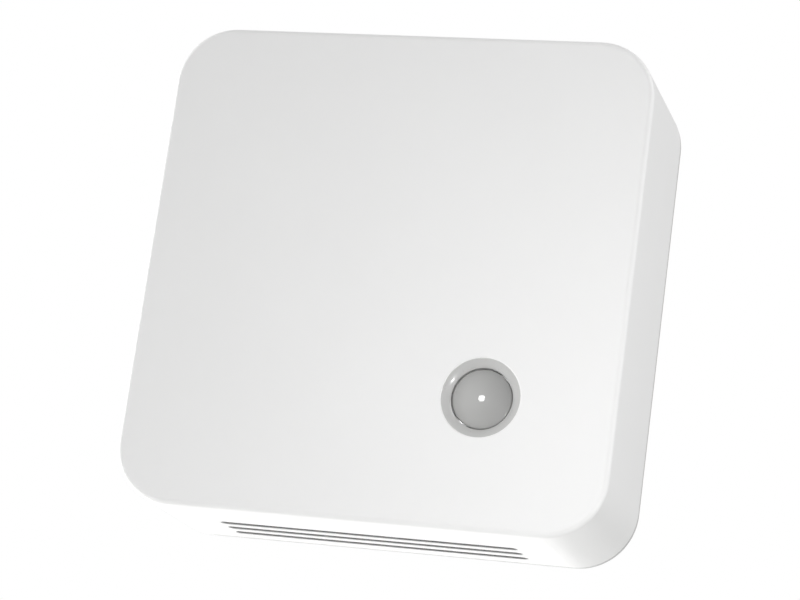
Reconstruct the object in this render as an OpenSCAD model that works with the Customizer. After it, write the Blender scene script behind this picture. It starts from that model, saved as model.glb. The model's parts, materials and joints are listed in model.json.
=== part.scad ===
// Wall-mounted room climate and motion sensor, battery powered, in millimetres.
// The origin is the centre of the face that lies on the wall. +Z is up and the front faces -Y.
// "Depth" below always means the distance in front of the wall, so depth d is y = -d.

/* [Case] */
// Width and height of the square case
case_side = 86; // [80:1:100]
// Depth of the case, from the wall to its front
case_depth = 28; // [28:1:34]
// Radius of the four corners, seen from the front
corner_r = 10.2; // [9:0.1:14]
// Radius of the edge between the front and the sides
edge_r = 0.9; // [0.4:0.1:1.4]
// Thickness of the side walls
wall_t = 2.0; // [1.6:0.1:2.4]
// Thickness of the front wall
front_t = 2.2; // [1.8:0.1:2.6]

/* [Motion sensor window] */
// Distance of the window's centre to the right of the case's centre
window_x = 19.8; // [16:0.1:22]
// Distance of the window's centre below the case's centre
window_drop = 20.5; // [16:0.1:23]
// Outer radius of the ring round the lens
recess_r = 6.8; // [6.4:0.1:7.2]
// Depth of the ring's inner edge below the front
recess_depth = 1.05; // [0.8:0.05:1.3]
// Radius of the hole that the lens looks through
window_r = 5.3; // [5:0.1:5.6]

/* [Vents] */
// Number of air slots in the underside
vent_count = 3; // [1:1:3]
// Distance of the slots' middle to the right of the case's centre
vent_x = -0.5; // [-1:0.1:1]
// Length of each slot
vent_length = 53; // [30:1:54]
// Width of each slot
vent_width = 2.1; // [1.5:0.1:2.4]
// Distance from one slot to the next
vent_pitch = 4.2; // [3.5:0.05:4.4]
// Depth of the slot nearest the wall
vent_first_depth = 5.85; // [5.2:0.05:6]

/* [Wall plate] */
// Thickness of the wall plate
plate_t = 2.0; // [1.6:0.1:2.4]
// Distance between two screw slots on one line
screw_spacing = 60; // [50:0.5:60.5]
// Width of a screw slot
screw_slot_width = 4.2; // [3.5:0.1:4.6]
// Length of a screw slot
screw_slot_length = 7.0; // [5:0.5:8]

/* [Circuit board] */
// Width and height of the board
board_side = 77; // [70:1:78]
// Thickness of the board
board_t = 1.6; // [1:0.1:1.6]
// Distance of the four board screws from the centre, along X and Z
boss_pitch = 32.5; // [31:0.1:33]

/* [Power] */
// Diameter of a cell over its sleeve
cell_d = 14.5; // [14:0.1:14.6]
// Length of a cell over its terminals
cell_length = 50.5; // [49:0.1:50.5]
// Travel of a cell against its spring
cell_travel = 1.5; // [0.5:0.1:1.5]

/* [Hidden] */
$fn = 64;

over = 1;                          // how far a cutter runs past what it cuts
root = 0.5;                        // how far a feature runs into the wall that it grows from
half = case_side / 2;
inner_half = half - wall_t;        // inside face of a side wall
inner_r = corner_r - wall_t;       // inside radius of a corner
roof = case_depth - front_t;       // depth of the front wall's inside face
flange_t = 0.85;                   // flange of the wall plate that shows behind the cover's rim
flange_inset = 0.06;               // the flange stands this far inside the case's outline
rim_gap = 0.95;                    // the cover's rim stops this far in front of the wall
rim_chamfer = 0.2;                 // small bevel round the rim's outer edge

board_front = 20.0;                // depth of the board's front face
board_back = board_front - board_t;
screw_r = 1.0;                     // board screws
boss_r = 3.0;
peg_x = 36;                        // two pegs on the centre line place the board
peg_r = 1.2;
peg_gap = 0.1;                     // clearance round a peg

plate_gap = 0.4;                   // clearance from the plate to the side walls
plate_half = inner_half - plate_gap;
lip_h = 2.0;                       // height of the lip round the plate
lip_t = 1.4;

window_at = [window_x, -window_drop];
lip_r = 0.35;                      // rounding of the cover's edge round the ring
lip_tilt = 50;                     // slope at which that rounding meets the ring
ring_top = case_depth - lip_r * (1 - cos(lip_tilt)) - 0.02;
ring_floor = case_depth - 1.7;     // depth of the ledge that the ring sits on
can_r = 4.1;                       // metal can of the motion sensor
can_base_r = 4.6;
can_top = 24.4;                    // depth of the can's top
lens_r = window_r - 0.15;
lens_wall = 0.4;
lens_flange_r = 6.4;
lens_flange_t = 0.8;
guide_reach = 8.2;                 // distance of a light guide's leg from the lens axis
guide_r = 1.2;
can_window_r = 2.85;               // the can's own window
can_window_t = 0.35;
lead_r = 0.23;

cell_r = cell_d / 2;
sleeve_t = 0.13;
cradle_r = cell_r + 0.2;
cell_depth = 10.2;                 // depth of the cells' axes
tray_floor_t = 0.8;
tray_wall = 1.3;
tray_top = 9.0;                    // depth to which the cradle walls reach
end_wall_top = 4.4;                // depth to which the tray's end walls reach
contact_t = 0.5;
tab_w = 2.4;                       // width of a contact's solder tab
spring_length = cell_travel + 2.2; // the travel and the closed spring
bay_half = (cell_length + spring_length + 2 * contact_t) / 2;
tray_half = bay_half + tray_wall;
tray_rise = 2.4;                   // height of the tray's lower edge above the centre
bay_pitch = 2 * cradle_r + 1.0;
cell_z = [tray_rise + tray_wall + cradle_r + bay_pitch, tray_rise + tray_wall + cradle_r];

// Places of the smaller parts, as [x, z]
radio_at = [-9, -7.5];
antenna_at = [-34.3, -16];
gas_at = [-3.2, -27.8];
climate_at = [-25.5, -35];
mcu_at = [9, -8];
crystal_at = [16.6, -6];
capacitor_at = [30.6, -20];
reset_at = [31, -6];
nfc_at = [-15, -15];

radio_side = 16;
radio_depth = board_back - 0.8;    // depth of the radio board's rear face
gas_w = 33.5;
gas_h = 19.5;
gas_board_depth = 15.4;            // depth of the gas sensor board's rear face
gas_board_t = 1.0;
gas_edge = 1.6;                    // from the edges of that board to its holes and pins
gas_case_top = 9.2;                // depth of the gas sensor's outer face
gas_port = [3, 0];                 // place of the membrane on the gas sensor
membrane_seat = 0.3;
switch_side = 6;
switch_top = 14.9;                 // depth of the switch's top face
switch_plate_t = 0.3;
plunger_r = 1.75;
plunger_gap = 0.1;
plunger_travel = 0.25;
plunger_well = board_back - 1.0;   // depth of the floor under the plunger

// ---- shared shapes -------------------------------------------------------

// Extrudes a shape drawn in X and Z from depth d0 to depth d1.
module slab(d0, d1) {
    rotate([90, 0, 0]) translate([0, 0, d0]) linear_extrude(height = d1 - d0) children();
}

// A round bar along the depth direction, centred on [x, z].
module bar(at, r, d0, d1) {
    translate([at[0], 0, at[1]]) rotate([90, 0, 0]) translate([0, 0, d0]) cylinder(r = r, h = d1 - d0);
}

// A block centred on [x, z] from depth d0 to depth d1.
module block(at, size, d0, d1) {
    translate([at[0] - size[0] / 2, -d1, at[1] - size[1] / 2]) cube([size[0], d1 - d0, size[1]]);
}

// Turns a profile drawn as radius and depth about the depth direction at [x, z].
module turned(at) {
    translate([at[0], 0, at[1]]) rotate([90, 0, 0]) rotate_extrude() children();
}

// The four corners of a square with half side h, as [x, z].
function corners(h) = [for (sx = [-1, 1], sz = [-1, 1]) [sx * h, sz * h]];

// A square with round corners, centred on the origin.
module rounded_square(h, r) {
    square([2 * h, 2 * (h - r)], center = true);
    square([2 * (h - r), 2 * h], center = true);
    for (corner = corners(h - r)) translate(corner) circle(r = r);
}

// Cuts a slot with round ends, along X, from depth d0 to depth d1.
module slot_cutter(at, length, width, d0, d1) {
    straight = length - width;
    block(at, [straight, width], d0, d1);
    for (s = [-1, 1]) bar([at[0] + s * straight / 2, at[1]], width / 2, d0, d1);
}

// A round wire of radius r through the given points. Each ring lies in the plane of its point's
// outward direction and the coil's own axis.
module coil_wire(points, outward, axis, r, sides) {
    n = len(points);
    rings = [for (i = [0:n - 1], k = [0:sides - 1])
        points[i] + r * (cos(360 * k / sides) * outward[i] + sin(360 * k / sides) * axis)];
    walls = [for (i = [0:n - 2], k = [0:sides - 1])
        let (a = i * sides + k, b = i * sides + (k + 1) % sides) [a, b, b + sides, a + sides]];
    ends = [[for (k = [sides - 1:-1:0]) k], [for (k = [0:sides - 1]) (n - 1) * sides + k]];
    polyhedron(points = rings, faces = concat(walls, ends), convexity = 10);
}

// ---- case ----------------------------------------------------------------

// Section through the case wall at an edge: distance outward from the corner's centre, and depth.
module edge_section() {
    difference() {
        translate([0, rim_gap]) square([corner_r, case_depth - rim_gap]);
        translate([corner_r - edge_r, case_depth - edge_r]) difference() {
            square(edge_r + over);
            circle(r = edge_r);
        }
        polygon([
            [corner_r - rim_chamfer, rim_gap - over],
            [corner_r - rim_chamfer, rim_gap],
            [corner_r, rim_gap + rim_chamfer],
            [corner_r + over, rim_gap + rim_chamfer],
            [corner_r + over, rim_gap - over]
        ]);
    }
}

// The case's outside as a solid: four corners, four edges and the block between them.
module case_outside() {
    core = half - corner_r;
    for (turn = [0, 90, 180, 270]) rotate([0, -turn, 0]) {
        translate([core, 0, core]) rotate([90, 0, 0]) rotate_extrude(angle = 90) edge_section();
        translate([core, 0, -core]) linear_extrude(height = 2 * core) mirror([0, 1]) edge_section();
    }
    slab(rim_gap, case_depth) square(2 * core, center = true);
}

// What the window removes from the front wall: a rounded lip, the ring's seat and the lens hole.
module window_cutter() {
    steps = 5;
    lip = [for (i = [steps:-1:0]) let (tilt = lip_tilt * i / steps)
        [recess_r + lip_r * (sin(lip_tilt) - sin(tilt)), case_depth - lip_r * (1 - cos(tilt))]];
    turned(window_at) polygon(concat(
        [[0, roof - over], [window_r, roof - over], [window_r, ring_floor], [recess_r, ring_floor]],
        lip,
        [[lip[steps][0], case_depth + over], [0, case_depth + over]]
    ));
}

// The underside's air slots, cut along Z.
module vent_cutters() {
    straight = vent_length - vent_width;
    for (i = [0:vent_count - 1]) translate([vent_x, -vent_first_depth - i * vent_pitch, -half - over]) {
        translate([-straight / 2, -vent_width / 2, 0]) cube([straight, vent_width, wall_t + 2 * over]);
        for (s = [-1, 1])
            translate([s * straight / 2, 0, 0]) cylinder(d = vent_width, h = wall_t + 2 * over);
    }
}

module front_cover() color("white") {
    collar_r = lens_flange_r + 0.2;
    collar_wall = 1.1;
    collar_end = roof - 1.6;
    guide_space = 4.4;             // gap in the collar for a light guide
    hole_gap = 0.05;
    hole_end = roof - 0.4;
    peg_tip = board_back + 0.4;
    difference() {
        union() {
            difference() {
                case_outside();
                slab(-over, roof) rounded_square(inner_half, inner_r);
            }
            for (place = corners(boss_pitch)) bar(place, boss_r, board_front, roof + root);
            // collar round the lens flange
            difference() {
                bar(window_at, collar_r + collar_wall, collar_end, roof + root);
                bar(window_at, collar_r, collar_end - over, roof + over);
                for (place = guide_places())
                    block(place, [guide_space, guide_space], collar_end - over, roof);
            }
            for (s = [-1, 1]) bar([s * peg_x, 0], peg_r, peg_tip, roof + root);
        }
        window_cutter();
        vent_cutters();
        for (place = corners(boss_pitch)) bar(place, screw_r + hole_gap, board_front - over, hole_end);
    }
}

// A dark open-cell strip behind the vents, with a ridge that stands in each slot.
module vent_filter() color("dimgray") {
    strip_t = 1.4;
    margin = 1.6;                  // the strip's overlap beyond the slots
    ridge_gap = 0.1;
    ridge_top = 0.1;               // the ridges stop this far inside the outer surface
    last_depth = vent_first_depth + (vent_count - 1) * vent_pitch;
    ridge_w = vent_width - 2 * ridge_gap;
    ridge_h = wall_t - ridge_top + root;
    straight = vent_length - vent_width;
    translate([vent_x - vent_length / 2 - margin, -last_depth - vent_width / 2 - margin / 2, -inner_half])
        cube([vent_length + 2 * margin, last_depth - vent_first_depth + vent_width + margin, strip_t]);
    for (i = [0:vent_count - 1])
        translate([vent_x, -vent_first_depth - i * vent_pitch, -half + ridge_top]) {
            translate([-straight / 2, -ridge_w / 2, 0]) cube([straight, ridge_w, ridge_h]);
            for (s = [-1, 1]) translate([s * straight / 2, 0, 0]) cylinder(d = ridge_w, h = ridge_h);
        }
}

// ---- wall plate ----------------------------------------------------------

tongue_w = 8;
tongue_z = 20;
tongue_h = 6.5;                    // height of a spring tongue above the plate
tongue_t = 1.3;

// One spring tongue on the +X side with the bump that grips the cover.
module snap_tongue(z) {
    bump_r = 0.8;
    bump_out = 0.3;
    bump_w = 6;
    bump_below_tip = 1.5;
    translate([plate_half - tongue_t, -plate_t - tongue_h, z - tongue_w / 2])
        cube([tongue_t, tongue_h + root, tongue_w]);
    translate([plate_half + bump_out - bump_r, -plate_t - tongue_h + bump_below_tip, z - bump_w / 2])
        cylinder(r = bump_r, h = bump_w);
}

// A screw slot along X with the wider seat for the screw's head.
module screw_slot() {
    seat = 4.4;                    // how much wider and longer the seat is
    seat_depth = 0.8;
    at = [screw_spacing / 2, 0];
    slot_cutter(at, screw_slot_length, screw_slot_width, -over, plate_t + over);
    slot_cutter(at, screw_slot_length + seat, screw_slot_width + seat,
        plate_t - seat_depth, plate_t + over);
}

module wall_plate() color("whitesmoke") {
    plate_r = inner_r - plate_gap;
    vent_clear = vent_length / 2 + 3;
    slit = 0.8;                    // gap in the lip at each side of a tongue
    notch = 3;                     // how far each gap reaches in from the plate's edge
    rib = [1.2, 18];
    rib_h = 1.2;
    arrow_depth = 0.4;
    difference() {
        union() {
            slab(0, plate_t) rounded_square(plate_half, plate_r);
            slab(0, flange_t) rounded_square(half - flange_inset, corner_r - flange_inset);
            difference() {
                slab(plate_t - root, plate_t + lip_h) rounded_square(plate_half, plate_r);
                slab(plate_t - over, plate_t + lip_h + over)
                    rounded_square(plate_half - lip_t, plate_r - lip_t);
                // the lip stays away from the vents and from each tongue
                translate([-vent_clear, -plate_t - lip_h - over, -half])
                    cube([2 * vent_clear, lip_h + over, 8]);
                for (sx = [-1, 1], z = [-tongue_z, tongue_z])
                    translate([sx * plate_half - notch, -plate_t - lip_h - over, z - tongue_w / 2 - slit])
                        cube([2 * notch, lip_h + over, tongue_w + 2 * slit]);
            }
            for (turn = [0, 180], z = [-tongue_z, tongue_z]) rotate([0, turn, 0]) snap_tongue(z);
            // ribs that stiffen the plate below the cells
            for (x = [-20, 20]) block([x, -27], rib, plate_t - root, plate_t + rib_h);
        }
        for (turn = [0, 90, 180, 270]) rotate([0, turn, 0]) screw_slot();
        // arrow that shows which way is up
        slab(plate_t - arrow_depth, plate_t + over) translate([0, -13]) polygon([
            [0, 6], [5, 0], [1.6, 0], [1.6, -6], [-1.6, -6], [-1.6, 0], [-5, 0]
        ]);
    }
}

// ---- motion sensor -------------------------------------------------------

// Glossy ring pressed in round the lens. Its face is one round arc that steepens towards the lens.
module lens_ring() color("gainsboro") {
    outer_tilt = 18;
    land = 0.08;                   // flat at the ring's outer edge
    wide = recess_r - window_r - land;
    deep = ring_top - (case_depth - recess_depth);
    inner_tilt = 2 * atan2(deep, wide) - outer_tilt;
    arc_r = wide / (sin(inner_tilt) - sin(outer_tilt));
    steps = 10;
    turned(window_at) polygon(concat(
        [[window_r, ring_floor], [recess_r, ring_floor], [recess_r, ring_top]],
        [for (i = [0:steps]) let (tilt = outer_tilt + (inner_tilt - outer_tilt) * i / steps)
            [window_r + arc_r * (sin(inner_tilt) - sin(tilt)),
             ring_top - arc_r * (cos(outer_tilt) - cos(tilt))]]
    ));
}

// The two legs that carry light between the lens and the parts beside it, as [x, z].
function guide_places() = [window_at + [-guide_reach, 0], window_at + [0, guide_reach]];

// Half section of a dome: from its crown at depth top out to radius r, on a ball of radius ball_r.
function dome_arc(r, ball_r, top, steps) = [for (i = [0:steps]) let (x = r * i / steps)
    [x, top - ball_r + sqrt(ball_r * ball_r - x * x)]];

// Domed lens with a skirt round the can, a flange behind the front wall and two light-guide legs.
module pir_lens() color([0.72, 0.72, 0.71]) {
    dome_h = recess_depth + 0.2;
    crown_gap = 0.15;                          // the crown stops this far inside the front
    rim_d = case_depth - crown_gap - dome_h;   // depth at which the dome starts
    dome_r = (lens_r * lens_r + dome_h * dome_h) / (2 * dome_h);
    inner_h = dome_h - lens_wall * 0.2;
    inside_r = lens_r - lens_wall;
    inside_dome_r = (inside_r * inside_r + inner_h * inner_h) / (2 * inner_h);
    steps = 10;
    outer = dome_arc(lens_r, dome_r, rim_d + dome_h, steps);
    inner = dome_arc(inside_r, inside_dome_r, rim_d - lens_wall + inner_h, steps);
    skirt_d = 21.6;
    flange_d = roof - lens_flange_t;
    turned(window_at) polygon(concat(
        outer,
        [[lens_r, roof], [lens_flange_r, roof], [lens_flange_r, flange_d], [lens_r, flange_d],
         [lens_r, skirt_d], [inside_r, skirt_d]],
        [for (i = [steps:-1:0]) inner[i]]
    ));
    guide_gap = 1.0;                           // from a guide's end to the board
    for (place = guide_places()) {
        reach = place - window_at;
        bridge = guide_reach - lens_r - 0.6;
        centre = place - reach * bridge / 2 / guide_reach;
        wide = 2 * guide_r;
        sideways = reach[0] != 0;
        block(centre, sideways ? [bridge, wide] : [wide, bridge], flange_d, roof);
        bar(place, guide_r, board_front + guide_gap, roof);
    }
}

module pir_can() color("silver") {
    turned(window_at) polygon([
        [0, board_front + 0.3], [can_base_r, board_front + 0.3], [can_base_r, board_front + 0.8],
        [can_r, board_front + 0.8], [can_r, can_top - 0.4], [can_r - 0.4, can_top],
        [can_window_r + 0.05, can_top], [can_window_r + 0.05, can_top - can_window_t],
        [0, can_top - can_window_t]
    ]);
}

module pir_window() color([0.25, 0.27, 0.32]) {
    bar(window_at, can_window_r, can_top - can_window_t, can_top - 0.02);
}

// Where the motion sensor's three legs go through the board, as [x, z].
function lead_places() = [for (a = [45, 135, 225]) window_at + 2.54 * [cos(a), sin(a)]];

module pir_leads() color("goldenrod") {
    for (place = lead_places()) bar(place, lead_r, board_back - 1.2, board_front + 0.3);
}

// ---- circuit board -------------------------------------------------------

module main_board() color([0.1, 0.38, 0.22]) {
    difference() {
        slab(board_back, board_front) rounded_square(board_side / 2, 6.5);
        for (place = corners(boss_pitch)) bar(place, screw_r + 0.45, board_back - over, board_front + over);
        for (s = [-1, 1]) bar([s * peg_x, 0], peg_r + peg_gap, board_back - over, board_front + over);
        for (place = lead_places()) bar(place, lead_r + 0.12, board_back - over, board_front + over);
        // slots that keep the board's own warmth away from the climate sensor
        block([climate_at[0] + 3.6, climate_at[1] + 0.8], [1, 9.4], board_back - over, board_front + over);
        block([climate_at[0] - 1, climate_at[1] + 5], [8.2, 1], board_back - over, board_front + over);
    }
}

module board_screws() color("silver") {
    head_r = 2.3;
    head_h = 1.7;
    tip = roof - 0.8;
    top = board_back - head_h;
    cross = [2.6, 0.6];
    cross_depth = 0.9;
    for (place = corners(boss_pitch)) translate([place[0], 0, place[1]]) difference() {
        turned([0, 0]) polygon([
            [0, top], [head_r - 0.7, top], [head_r, top + 0.7],
            [head_r, board_back], [screw_r, board_back], [screw_r, tip - 0.8], [0.3, tip], [0, tip]
        ]);
        for (turn = [0, 90]) rotate([0, turn, 0]) block([0, 0], cross, top - over, top + cross_depth);
    }
}

// Square chip with a small round mark at one corner.
module microcontroller() color([0.12, 0.12, 0.13]) {
    side = 7;
    top = board_back - 0.9;
    mark_r = 0.5;
    mark_in = side / 2 - 2 * mark_r;
    difference() {
        block(mcu_at, [side, side], top, board_back);
        bar(mcu_at + [-mark_in, mark_in], mark_r, top - over, top + 0.1);
    }
}

module crystal() color("gainsboro") {
    block(crystal_at, [3.2, 1.5], board_back - 0.8, board_back);
}

// Small package with a round opening through which it senses the air.
module climate_sensor() color([0.15, 0.15, 0.16]) {
    top = board_back - 0.9;
    opening_r = 0.55;
    difference() {
        block(climate_at, [2.5, 2.5], top, board_back);
        bar(climate_at, opening_r, top - over, top + 0.5);
    }
}

module light_sensor() color([0.8, 0.8, 0.75]) {
    block(guide_places()[0], [2, 2], board_front, board_front + 0.7);
}

module status_led() color("ivory") {
    block(guide_places()[1], [1.6, 0.8], board_front, board_front + 0.6);
}

// Chip resistors and capacitors in short rows beside the parts that they serve.
module board_passives() color([0.45, 0.36, 0.26]) {
    part_size = [1.6, 0.8];
    // each row: its first part, how many, and the step to the next
    rows = [
        [[4.2, -14.6], 5, [2.4, 0]],
        [[4.2, -1.2], 6, [2.4, 0]],
        [[-22.4, -12], 4, [0, 3]],
        [[18.6, -11.4], 3, [2.4, 0]],
        [[25.2, -31], 2, [0, -3]]
    ];
    for (row = rows, i = [0:row[1] - 1])
        block(row[0] + i * row[2], part_size, board_back - 0.5, board_back);
}

// A flat square spiral on the board's front face: the short-range aerial used to set the sensor up.
module nfc_loop() color([0.75, 0.5, 0.25]) {
    turns = 4;
    outer = 13.5;
    step = 1.2;
    track = 0.5;
    top = board_front + 0.1;
    for (i = [0:turns - 1]) {
        h = outer - i * step;
        next = h - step;
        block(nfc_at + [0, h], [2 * h + track, track], board_front, top);
        block(nfc_at + [h, 0], [track, 2 * h + track], board_front, top);
        block(nfc_at + [step / 2, -h], [2 * h - step + track, track], board_front, top);
        block(nfc_at + [-next, -step / 2], [track, h + next + track], board_front, top);
    }
}

// ---- radio ---------------------------------------------------------------

module radio_board() color([0.08, 0.25, 0.45]) {
    notch_r = 0.4;
    notch_pitch = 2;
    difference() {
        block(radio_at, [radio_side, radio_side], radio_depth, board_back);
        // half-round plated notches along both sides
        for (s = [-1, 1], i = [-3:3])
            bar(radio_at + [s * radio_side / 2, i * notch_pitch], notch_r,
                radio_depth - over, board_back + over);
    }
}

// Tin lid with a row of vent holes along its four sides.
module radio_shield() color("silver") {
    side = radio_side - 2;
    sheet = 0.25;
    top = board_back - 3.0;
    hole_pitch = 2.6;
    hole_r = 0.45;
    difference() {
        block(radio_at, [side, side], top, radio_depth);
        block(radio_at, [side - 2 * sheet, side - 2 * sheet], top + sheet, board_back);
        for (i = [-2:2], k = [-2:2]) if (abs(i) == 2 || abs(k) == 2)
            bar(radio_at + [i, k] * hole_pitch, hole_r, top - over, top + over);
    }
}

// A coil of springy wire that stands beside the radio, with a foot down to the board.
module helical_antenna() color("goldenrod") {
    wire_r = 0.4;
    coil_r = 2.4;
    pitch = 2.0;
    turns = 9;
    per_turn = 14;
    board_gap = 0.3;
    coil_depth = board_back - coil_r - wire_r - board_gap;
    count = turns * per_turn;
    low = antenna_at[1] - turns * pitch / 2;
    angles = [for (i = [0:count]) 270 + 360 * i / per_turn];
    outward = [for (a = angles) [cos(a), -sin(a), 0]];
    points = [for (i = [0:count])
        [antenna_at[0], -coil_depth, low + pitch * i / per_turn] + coil_r * outward[i]];
    coil_wire(points, outward, [0, 0, -1], wire_r, 6);
    // foot that stands on the board and holds the coil's lower end
    block([antenna_at[0], low], [1.3, 1.2], coil_depth + coil_r - 0.25, board_back);
}

// ---- gas sensor ----------------------------------------------------------

module gas_sensor_pins() color("goldenrod") {
    pin = 0.6;
    pin_pitch = 2.54;
    first_x = -6;
    for (s = [-1, 1], i = [0:4])
        block(gas_at + [first_x + i * pin_pitch, s * (gas_h / 2 - gas_edge)], [pin, pin],
            gas_board_depth + gas_board_t, board_back);
}

module gas_sensor_board() color([0.08, 0.3, 0.18]) {
    hole_r = 0.9;
    difference() {
        block(gas_at, [gas_w, gas_h], gas_board_depth, gas_board_depth + gas_board_t);
        for (sx = [-1, 1], sz = [-1, 1])
            bar(gas_at + [sx * (gas_w / 2 - gas_edge), sz * (gas_h / 2 - gas_edge)], hole_r,
                gas_board_depth - over, gas_board_depth + gas_board_t + over);
    }
}

module gas_sensor_case() color("whitesmoke") {
    difference() {
        union() {
            block(gas_at + [0.6, 0], [28, 15.6], gas_case_top, gas_board_depth);
            block(gas_at + [-14.8, 0], [3, 9], gas_case_top + 2.4, gas_board_depth);
        }
        // shallow seat for the membrane, and the well below it
        block(gas_at + gas_port, [14.4, 9.4], gas_case_top - over, gas_case_top + membrane_seat);
        block(gas_at + gas_port, [12, 7], gas_case_top, gas_case_top + 4.5);
    }
}

module gas_sensor_membrane() color("white") {
    block(gas_at + gas_port, [14.2, 9.2], gas_case_top + 0.05, gas_case_top + membrane_seat);
}

// ---- reservoir capacitor and reset switch --------------------------------

module reservoir_capacitor() color([0.13, 0.15, 0.3]) {
    r = 4;
    top = board_back - 10;
    round_by = 0.4;
    groove = 0.3;                  // depth of the crimped groove near the board
    groove_from = board_back - 1.2;
    groove_to = board_back - 2.2;
    score = [4.6, 0.35];
    difference() {
        turned(capacitor_at) polygon([
            [0, board_back], [r - round_by, board_back], [r, board_back - round_by],
            [r, groove_from], [r - groove, groove_from - groove],
            [r - groove, groove_to + groove], [r, groove_to],
            [r, top + round_by], [r - round_by, top], [0, top]
        ]);
        // scored cross in the can's end
        for (turn = [45, 135]) translate([capacitor_at[0], 0, capacitor_at[1]]) rotate([0, turn, 0])
            block([0, 0], score, top - over, top + 0.2);
    }
}

module reset_switch_case() color([0.1, 0.1, 0.1]) {
    difference() {
        block(reset_at, [switch_side, switch_side], switch_top + switch_plate_t, board_back);
        bar(reset_at, plunger_r + plunger_gap, switch_top, plunger_well);
    }
}

// Steel plate that holds the plunger in, with a rivet hole near each corner.
module reset_switch_plate() color("silver") {
    rivet_pitch = 2.35;
    rivet_r = 0.35;
    difference() {
        block(reset_at, [switch_side, switch_side], switch_top, switch_top + switch_plate_t);
        bar(reset_at, plunger_r + plunger_gap, switch_top - over, switch_top + over);
        for (place = corners(rivet_pitch))
            bar(reset_at + place, rivet_r, switch_top - over, switch_top + over);
    }
}

module reset_plunger() color([0.15, 0.15, 0.15]) {
    top = switch_top - 2.5;
    foot = plunger_well - plunger_travel - plunger_gap;
    round_by = 0.25;
    turned(reset_at) polygon([
        [0, top], [plunger_r - round_by, top], [plunger_r, top + round_by], [plunger_r, foot], [0, foot]
    ]);
}

// ---- power ---------------------------------------------------------------

// Moulded tray with a round cradle for each cell.
module battery_tray() color([0.12, 0.12, 0.13]) {
    low = tray_rise;
    high = cell_z[0] + cradle_r + tray_wall;
    mid = (low + high) / 2;
    cut = 2 * bay_half;
    seat = [4, 11];                // square-ended seat for a contact
    tab_gap = 0.1;
    finger_gap = [16, 5];
    difference() {
        block([0, mid], [2 * tray_half, high - low], tray_top, board_back);
        for (z = cell_z) {
            translate([-bay_half, -cell_depth, z]) rotate([0, 90, 0]) cylinder(r = cradle_r, h = cut);
            block([0, z], [cut, 2 * cradle_r], 0, cell_depth);
            for (s = [-1, 1]) {
                block([s * (bay_half - seat[0] / 2), z], seat, 0, board_back - tray_floor_t);
                block([s * (bay_half - contact_t / 2), z], [contact_t + tab_gap, tab_w + tab_gap],
                    0, board_back + over);
            }
        }
        // finger gaps in the outer walls and in the wall between the cells
        for (z = [low, mid, high]) block([0, z], finger_gap, 0, board_back - 3.5);
    }
    // end walls behind the contacts
    for (s = [-1, 1])
        block([s * (bay_half + tray_wall / 2), mid], [tray_wall, high - low], end_wall_top, board_back);
}

// Signs of the end that the positive contact is at: +1 is the +X end.
plus_end = [1, -1];

// Flat contact plates, one at each end of each bay, with a solder tab down to the board.
module contact_plates() color("silver") {
    plate_w = 10.4;
    below_wall = 0.6;
    for (z = cell_z, s = [-1, 1]) {
        x = s * (bay_half - contact_t / 2);
        block([x, z], [contact_t, plate_w], end_wall_top + below_wall, board_back - tray_floor_t);
        block([x, z], [contact_t, tab_w], board_back - tray_floor_t - root, board_back);
    }
}

// Conical spring that presses on a cell's negative end.
module cell_spring(i) {
    wire_r = 0.3;
    turns = 3.5;
    per_turn = 16;
    count = turns * per_turn;
    wide = 3.6;
    narrow = 1.9;
    s = -plus_end[i];                          // the end that the spring is at
    base = bay_half - contact_t - wire_r;
    span = spring_length - 2 * wire_r;
    angles = [for (k = [0:count]) 360 * k / per_turn];
    outward = [for (a = angles) [0, cos(a), s * sin(a)]];
    points = [for (k = [0:count]) let (share = k / count)
        [s * (base - span * share), -cell_depth, cell_z[i]]
        + (wide + (narrow - wide) * share) * outward[k]];
    coil_wire(points, outward, [s, 0, 0], wire_r, 6);
}

module cell_spring_1() color("silver") cell_spring(0);
module cell_spring_2() color("silver") cell_spring(1);

// Places a cell drawn along +X from its negative end, which is at x = 0.
module in_bay(i) {
    turn = plus_end[i] > 0 ? 0 : 180;
    start = bay_half - contact_t - cell_length;
    translate([0, -cell_depth, cell_z[i]]) rotate([0, 0, turn])
        translate([start, 0, 0]) rotate([0, 90, 0]) children();
}

can_length = cell_length - 1.9;
seal_drop = 0.6;                   // the seal lies this far inside the can's positive end

// Closed at the negative end, which is dished a little. Rolled in at the positive end.
module cell_can(i) {
    r = cell_r - sleeve_t - 0.02;
    dish_r = 5.6;
    mouth_r = 6;
    in_bay(i) rotate_extrude() polygon([
        [0, 0.1], [dish_r, 0.1], [dish_r, 0], [r - 0.5, 0], [r, 0.5],
        [r, can_length - 0.4], [r - 0.4, can_length], [mouth_r, can_length],
        [mouth_r, can_length - seal_drop], [0, can_length - seal_drop]
    ]);
}

module cell_sleeve(i) {
    in_bay(i) rotate_extrude() polygon([
        [cell_r - sleeve_t, 0], [cell_r - sleeve_t, can_length], [6.2, can_length],
        [6.2, can_length + sleeve_t], [cell_r - 0.4, can_length + sleeve_t], [cell_r, can_length - 0.3],
        [cell_r, 0.2], [cell_r - sleeve_t / 2, 0]
    ]);
}

module cell_terminal(i) {
    in_bay(i) rotate_extrude() polygon([
        [0, can_length - seal_drop], [4.2, can_length - seal_drop], [4.2, can_length - 0.3],
        [2.8, can_length - 0.1], [2.75, cell_length - 0.2], [2.5, cell_length], [0, cell_length]
    ]);
}

module cell_1_can() color("silver") cell_can(0);
module cell_1_sleeve() color([0.15, 0.45, 0.3]) cell_sleeve(0);
module cell_1_terminal() color("gainsboro") cell_terminal(0);
module cell_2_can() color("silver") cell_can(1);
module cell_2_sleeve() color([0.15, 0.45, 0.3]) cell_sleeve(1);
module cell_2_terminal() color("gainsboro") cell_terminal(1);

// ---- what is drawn -------------------------------------------------------

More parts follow.
